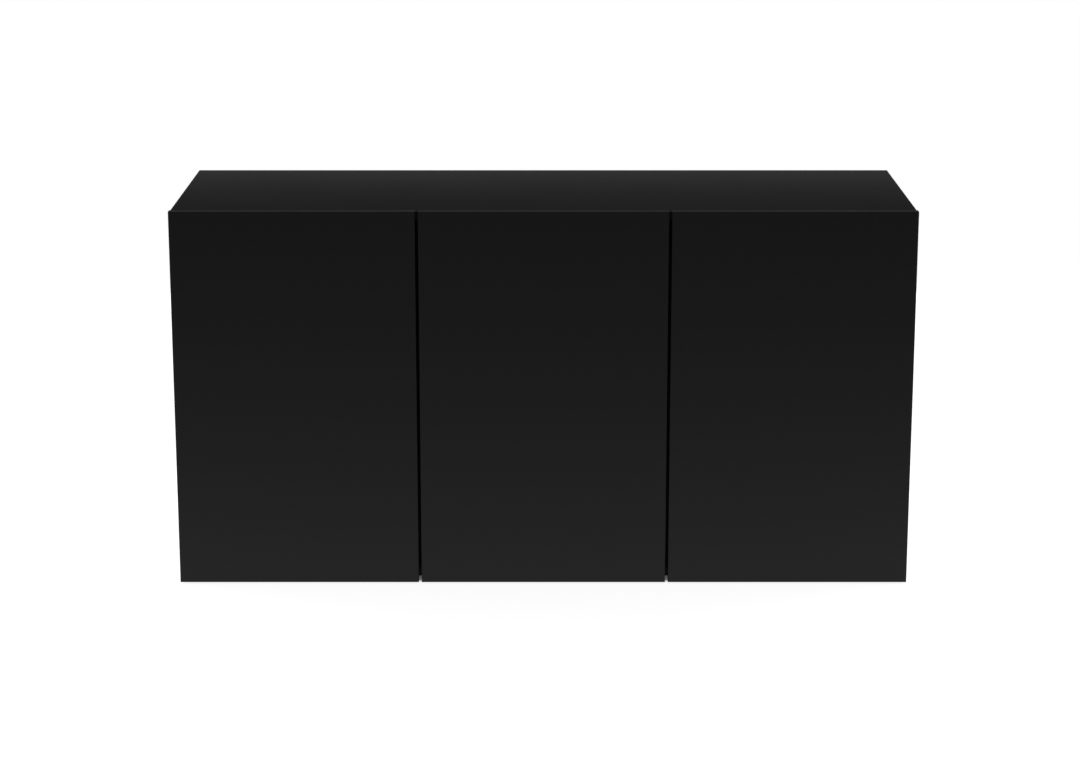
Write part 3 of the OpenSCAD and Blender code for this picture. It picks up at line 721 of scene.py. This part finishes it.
def clamp_screw():
    """Domed clamp screw of a hinge arm: head above the origin, cross recess, machine thread along -Z."""
    make = Shape("clamp_screw")
    width, rise, shank, length = make.sizes("Head diameter", "Head height", "Shank diameter", "Length")
    core = 0.42 * shank
    ball = make.add("GeometryNodeMeshUVSphere", {"Segments": ROUND_SIDES, "Rings": DOME_RINGS, "Radius": 1.0})
    dome_size = make.vector(width / 2, width / 2, rise)
    dome = make.add("GeometryNodeTransform", {"Geometry": ball, "Scale": dome_size})
    recess = make.cross(length=0.55 * width, width=0.13 * width, depth=0.12 * width, level=rise)
    lower_half = make.box(2 * width, 2 * width, 2 * rise, make.vector(z=-rise))
    head = make.cut(dome, [recess, lower_half])
    rod = make.rod(core, -length, 0.3 * rise)
    thread = make.thread(core, shank / 2, 0.12 * shank - length, 0.0, pitch=0.16 * shank)
    return make.done(make.fused([head, rod, thread]))


def set_screw():
    """Slotted set screw of a hinge arm: flush head at the origin, machine thread along -Z."""
    make = Shape("set_screw")
    width, length = make.sizes("Diameter", "Length")
    core = 0.43 * width
    slot = make.box(1.2 * width, 0.22 * width, 0.4 * width, make.vector())
    body = make.turned((0.0, -length), (core, -length), (core, -0.1 * width), (0.38 * width, 0.0), (0.0, 0.0))
    thread = make.thread(core, width / 2, 0.12 * width - length, -0.25 * width, pitch=0.16 * width)
    return make.done(make.cut(make.fused([body, thread]), [slot]))


def coil_spring():
    """Compression spring from the origin along +Z."""
    make = Shape("coil_spring")
    width, wire, length, turns = make.sizes("Diameter", "Wire diameter", "Length", "Turns")
    winding = make.helix((width - wire) / 2, wire / 2, length - wire / 2, turns, SPRING_STEPS)
    return make.done(make.swept(winding, make.circle(wire / 2, WIRE_SIDES)))


def copies(name, shape, places, sizes, finish):
    """A plain mesh with a copy of a shape at each place: origin, aim and side."""
    mesh = bpy.data.meshes.new(name)
    mesh.from_pydata([place[0] for place in places], [], [])
    for index, attribute in ((1, "aim"), (2, "side")):
        values = mesh.attributes.new(attribute, "FLOAT_VECTOR", "POINT").data
        for value, place in zip(values, places):
            value.vector = place[index]
    piece = link(name, mesh)
    modifier = piece.modifiers.new("copies", "NODES")
    modifier.node_group = shape
    for socket in shape.interface.items_tree:
        if socket.in_out == "INPUT" and socket.name in sizes:
            modifier[socket.identifier] = sizes[socket.name]
        elif socket.name == "Finish":
            modifier[socket.identifier] = finish
    depsgraph = bpy.context.evaluated_depsgraph_get()
    made = bpy.data.meshes.new_from_object(piece.evaluated_get(depsgraph))
    piece.modifiers.clear()
    piece.data = made
    smooth_by_angle(made)
    return piece


# Hardware: screws, joints, feet and pins

SIDE_OF_AXIS = (BACK, UP, RIGHT)
WOOD_SCREW = wood_screw()


def make_wood_screws(node, axis):
    """Wood screws in the places of a CAD node's screws, which lie along an axis."""
    solids = solids_of(node)
    head = along((axis + 1) % 3, solids[0])
    sizes = {"Head diameter": head, "Shank diameter": head / 2, "Length": along(axis, solids[0])}
    places = [(*wide_end(points, axis), SIDE_OF_AXIS[axis]) for points in solids]
    stand_for(copies(node + "_cut", WOOD_SCREW, places, sizes, NICKEL), node)


def make_cam_locks():
    """Cams with their open faces flush with the boards, pointing at their bolts."""
    boards = [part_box(name) for name in UPRIGHTS]
    solids = solids_of("cam_locks")
    places = []
    for points in solids:
        low, high = corners_of(points)
        place = (low + high) / 2
        board_low, board_high = min(boards, key=lambda box: abs((box[0].x + box[1].x) / 2 - place.x))
        outward = 1 if place.x > (board_low.x + board_high.x) / 2 else -1
        upward = 1 if place.z > (board_low.z + board_high.z) / 2 else -1
        place.x = high.x if outward > 0 else low.x
        places.append((place, outward * RIGHT, upward * UP))
    sizes = {"Diameter": along(Y_AXIS, solids[0]), "Height": along(X_AXIS, solids[0])}
    stand_for(copies("cam_locks_cast", cam_lock(), places, sizes, ZINC), "cam_locks")


def make_cam_bolts():
    solids = solids_of("cam_bolts")
    places = [(*wide_end(points, Z_AXIS), RIGHT) for points in solids]
    in_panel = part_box("cam_bolts")[1].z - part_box("left_side_panel")[1].z
    sizes = {"Head diameter": along(X_AXIS, solids[0]), "Length": along(Z_AXIS, solids[0]),
             "Thread length": in_panel}
    stand_for(copies("cam_bolts_turned", cam_bolt(), places, sizes, NICKEL), "cam_bolts")


def make_dowels():
    solids = solids_of("wood_dowels")
    places = [(underside(points), UP, RIGHT) for points in solids]
    sizes = {"Diameter": along(X_AXIS, solids[0]), "Length": along(Z_AXIS, solids[0])}
    stand_for(copies("wood_dowels_fluted", fluted_dowel(), places, sizes, BEECH), "wood_dowels")


def make_feet():
    solids = solids_of("glide_feet")
    places = [(underside(points), -UP, RIGHT) for points in solids]
    screw_head = along(X_AXIS, solids_of("foot_screws")[0])
    sizes = {"Diameter": along(X_AXIS, solids[0]), "Height": along(Z_AXIS, solids[0]),
             "Screw hole diameter": screw_head}
    stand_for(copies("glide_feet_moulded", glide_foot(), places, sizes, PLASTIC), "glide_feet")


def make_shelf_pins():
    """Pins with their tabs against the undersides of the shelves."""
    faces = [corner.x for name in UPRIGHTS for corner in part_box(name)]
    solids = solids_of("shelf_pins")
    width = along(Y_AXIS, solids[0]) / 2
    places = []
    for points in solids:
        low, high = corners_of(points)
        tip, aim = wide_end(points, X_AXIS)
        face = min(faces, key=lambda x: abs(x - (low.x + high.x) / 2))
        places.append((Vector((face, tip.y, low.z + width / 2)), aim, UP))
    low, high = corners_of(solids[0])
    first_face = places[0][0].x
    sizes = {"Diameter": width, "Depth in the board": first_face - low.x, "Reach": high.x - first_face}
    stand_for(copies("shelf_pins_cut", shelf_pin(), places, sizes, NICKEL), "shelf_pins")


def inner_end(points, sunk=0.0):
    """Place in the end of a solid that faces the middle of the cabinet, sunk into it, with aim and side."""
    low, high = corners_of(points)
    aim = RIGHT if low.x < 0 else -RIGHT
    place = (low + high) / 2
    place.x = high.x if low.x < 0 else low.x
    return place - aim * sunk, aim, BACK


def make_arm_screws():
    """One domed clamp screw and one set screw in each hinge arm, with their heads to the middle."""
    solids = solids_of("arm_screws")
    widths = [along(Y_AXIS, points) for points in solids]
    clamp_head, set_width = max(widths), min(widths)
    between = (clamp_head + set_width) / 2
    clamps = [points for points, width in zip(solids, widths) if width > between]
    setters = [points for points, width in zip(solids, widths) if width < between]
    head_front = corners_of(clamps[0])[0].y
    head_points = [point for point in clamps[0] if abs(point.y - head_front) < PLANE_TOLERANCE]
    rise = along(X_AXIS, head_points)
    clamp_sizes = {"Head diameter": clamp_head, "Head height": rise, "Shank diameter": 0.55 * clamp_head,
                   "Length": along(X_AXIS, clamps[0]) - rise}
    clamp_places = [inner_end(points, sunk=rise) for points in clamps]
    set_sizes = {"Diameter": set_width, "Length": along(X_AXIS, setters[0])}
    set_places = [inner_end(points) for points in setters]
    stand_for(copies("clamp_screws_cut", clamp_screw(), clamp_places, clamp_sizes, NICKEL), "arm_screws")
    stand_for(copies("set_screws_cut", set_screw(), set_places, set_sizes, NICKEL), "arm_screws")


def make_springs():
    """Compression springs behind the plungers."""
    nodes = [side + "_latch_spring" for side in SIDES]
    places = []
    for node in nodes:
        low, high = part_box(node)
        front = Vector(((low.x + high.x) / 2, low.y, (low.z + high.z) / 2))
        places.append((front, BACK, RIGHT))
    sizes = {"Diameter": high.x - low.x, "Wire diameter": SPRING_WIRE, "Length": high.y - low.y,
             "Turns": SPRING_TURNS}
    piece = copies("latch_springs_wound", coil_spring(), places, sizes, NICKEL)
    for node in nodes:
        stand_for(piece, node)


make_wood_screws("foot_screws", Z_AXIS)
make_wood_screws("plate_screws", X_AXIS)
make_wood_screws("latch_screws", Z_AXIS)
for side in SIDES:
    make_wood_screws(side + "_cup_screws", Y_AXIS)
    make_wood_screws(side + "_strike_screw", Y_AXIS)
make_cam_locks()
make_cam_bolts()
make_dowels()
make_feet()
make_shelf_pins()
make_arm_screws()
make_springs()


# Hardware: pressed and moulded pieces

BROKEN_EDGE_SEGMENTS = 2
# Finish and edge radius of each kind of piece
SOFTENED_PIECES = {
    "hinge_arms": (NICKEL, 0.5 * MM),
    "mounting_plates": (NICKEL, 0.4 * MM),
    "hinge_cups": (NICKEL, 0.25 * MM),
    "hinge_pins": (ZINC, 0.4 * MM),
    "strike_plate": (NICKEL, 0.12 * MM),
    "latch_housing": (PLASTIC, 0.6 * MM),
    "latch_plunger": (PLASTIC, 0.5 * MM),
    "latch_tip": (RUBBER, 0.7 * MM),
}


def softened(node, finish, radius):
    """A copy of a CAD node with its sharp edges broken."""
    piece = link(node + "_softened", as_mesh(whole_faces(node), node), finish)
    smooth_by_angle(piece.data)
    bevel = piece.modifiers.new("broken_edges", "BEVEL")
    bevel.width = radius
    bevel.segments = BROKEN_EDGE_SEGMENTS
    bevel.limit_method = "ANGLE"
    bevel.angle_limit = SHARP_ANGLE
    stand_for(piece, node)


for side in SIDES:
    for kind, (finish, radius) in SOFTENED_PIECES.items():
        softened(f"{side}_{kind}", finish, radius)


# CAD nodes that stay hidden keep a finish of their own

SLOT_FINISH = {"steel": NICKEL, "zinc": ZINC, "black_plastic": PLASTIC, "rubber": RUBBER, "beech": BEECH,
               "black_board": MELAMINE, "black_sheet": SHEET}
for name, node in frame["nodes"].items():
    node.data.materials.clear()
    node.data.materials.append(SLOT_FINISH[SLOT_OF[name]])


# Stage and light

WHITE = (1.0, 1.0, 1.0, 1.0)
AMBIENT = 0.26
FLOOR_COLOUR = grey(0.80)
FLOOR_REACH = 30.0
# Light that reaches the open floor: a paint brighter by its inverse shows white there
FLOOR_LIGHT = 0.26
# How much of the real shadow the seen floor keeps, beside the cabinet and under it
FLOOR_SHADOW_SHARE = 0.12
CONTACT_SHADOW_SHARE = 0.92
CONTACT_START = 8 * MM
CONTACT_RAMP = 18 * MM


def shown_white(tree):
    """1 for the rays that look at the stage itself: camera, glossy and transmitted ones."""
    camera, glossy, transmitted = (tree.add("ShaderNodeLightPath", output=name)
                                   for name in ("Is Camera Ray", "Is Glossy Ray", "Is Transmission Ray"))
    return camera.larger(glossy).larger(transmitted)


def studio_world():
    world = bpy.data.worlds.new("studio")
    bpy.context.scene.world = world
    tree = Tree(emptied_tree(world))
    dim = tree.add("ShaderNodeBackground", {"Color": WHITE, "Strength": AMBIENT})
    bright = tree.add("ShaderNodeBackground", {"Color": WHITE, "Strength": 1.0})
    mixed = tree.add("ShaderNodeMixShader", {0: shown_white(tree), 1: dim, 2: bright})
    tree.add("ShaderNodeOutputWorld", {"Surface": mixed})


def under_cabinet(tree):
    """1 on the floor under the cabinet, falling to 0 a little inside the outline of its footprint."""
    place = tree.add("ShaderNodeTexCoord", output="Object")
    inside = 1.0
    for axis, low, high in zip("XY", *cad_box):
        along_axis = tree.add("ShaderNodeSeparateXYZ", {"Vector": place}, output=axis)
        for edge, inward in ((low, 1), (high, -1)):
            start = edge + inward * CONTACT_START
            ramp = {"Value": along_axis, "From Min": start, "From Max": start + inward * CONTACT_RAMP}
            inside = tree.add("ShaderNodeMapRange", ramp, interpolation_type="SMOOTHSTEP") * inside
    return inside


def studio_floor():
    material = bpy.data.materials.new("studio_floor")
    tree = Tree(emptied_tree(material))
    paint = tree.add("ShaderNodeBsdfDiffuse", {"Color": FLOOR_COLOUR})
    lit = tree.add("ShaderNodeBsdfDiffuse", {"Color": grey(1.0 / FLOOR_LIGHT)})
    glow = tree.add("ShaderNodeEmission", {"Color": WHITE, "Strength": 1.0})
    shadow_share = FLOOR_SHADOW_SHARE + (CONTACT_SHADOW_SHARE - FLOOR_SHADOW_SHARE) * under_cabinet(tree)
    seen = tree.add("ShaderNodeMixShader", {0: shadow_share, 1: glow, 2: lit})
    surface = tree.add("ShaderNodeMixShader", {0: shown_white(tree), 1: paint, 2: seen})
    tree.add("ShaderNodeOutputMaterial", {"Surface": surface})
    bm = bmesh.new()
    bmesh.ops.create_grid(bm, x_segments=1, y_segments=1, size=FLOOR_REACH)
    floor = link("studio_floor", as_mesh(bm, "studio_floor"), material)


def softbox(name, place, aim, width, depth, radiance):
    """A rectangular lamp of a given radiance that faces a point and stays out of the picture."""
    data = bpy.data.lights.new(name, "AREA")
    data.shape = "RECTANGLE"
    data.size = width
    data.size_y = depth
    data.energy = radiance * pi * width * depth
    lamp = bpy.data.objects.new(name, data)
    bpy.context.scene.collection.objects.link(lamp)
    lamp.location = place
    lamp.rotation_euler = (Vector(aim) - Vector(place)).to_track_quat("-Z", "Y").to_euler()
    lamp.visible_camera = False
    lamp.visible_glossy = False


studio_world()
studio_floor()
softbox("floor_bounce", place=(0.0, -0.586, 0.0015), aim=(0.0, -0.586, 1.0),
        width=5.0, depth=0.66, radiance=2.35)
softbox("front_fill", place=(0.0, -3.6, 1.5), aim=(0.0, 0.0, 0.4), width=3.0, depth=1.6, radiance=0.6)
softbox("rear_strip", place=(0.0, 0.49, 1.04), aim=(0.0, 0.0, 0.78), width=5.0, depth=0.18, radiance=9.5)
softbox("left_fill", place=(-2.4, 0.30, 0.9), aim=(-0.75, 0.0, 0.4), width=1.2, depth=1.2, radiance=2.5)
softbox("right_fill", place=(2.4, 0.30, 0.9), aim=(0.75, 0.0, 0.4), width=1.2, depth=1.2, radiance=2.5)
softbox("rear_fill", place=(0.0, 2.6, 0.5), aim=(0.0, 0.25, 0.4), width=3.0, depth=0.8, radiance=2.5)


# Camera

EYE = (-0.007, -5.487, 1.776)
TILT = radians(14.08)
LENS_MM, SENSOR_MM = 88.2, 36.0
SHIFT_Y = -0.02


def photo_camera():
    """Looks straight at the doors, tilted down on to the top."""
    data = bpy.data.cameras.new("photo_camera")
    data.lens = LENS_MM
    data.sensor_width = SENSOR_MM
    data.shift_y = SHIFT_Y
    camera = bpy.data.objects.new("photo_camera", data)
    bpy.context.scene.collection.objects.link(camera)
    camera.location = EYE
    camera.rotation_euler = (QUARTER_TURN - TILT, 0.0, 0.0)
    bpy.context.scene.camera = camera


photo_camera()

bpy.context.scene.view_settings.view_transform = "Standard"
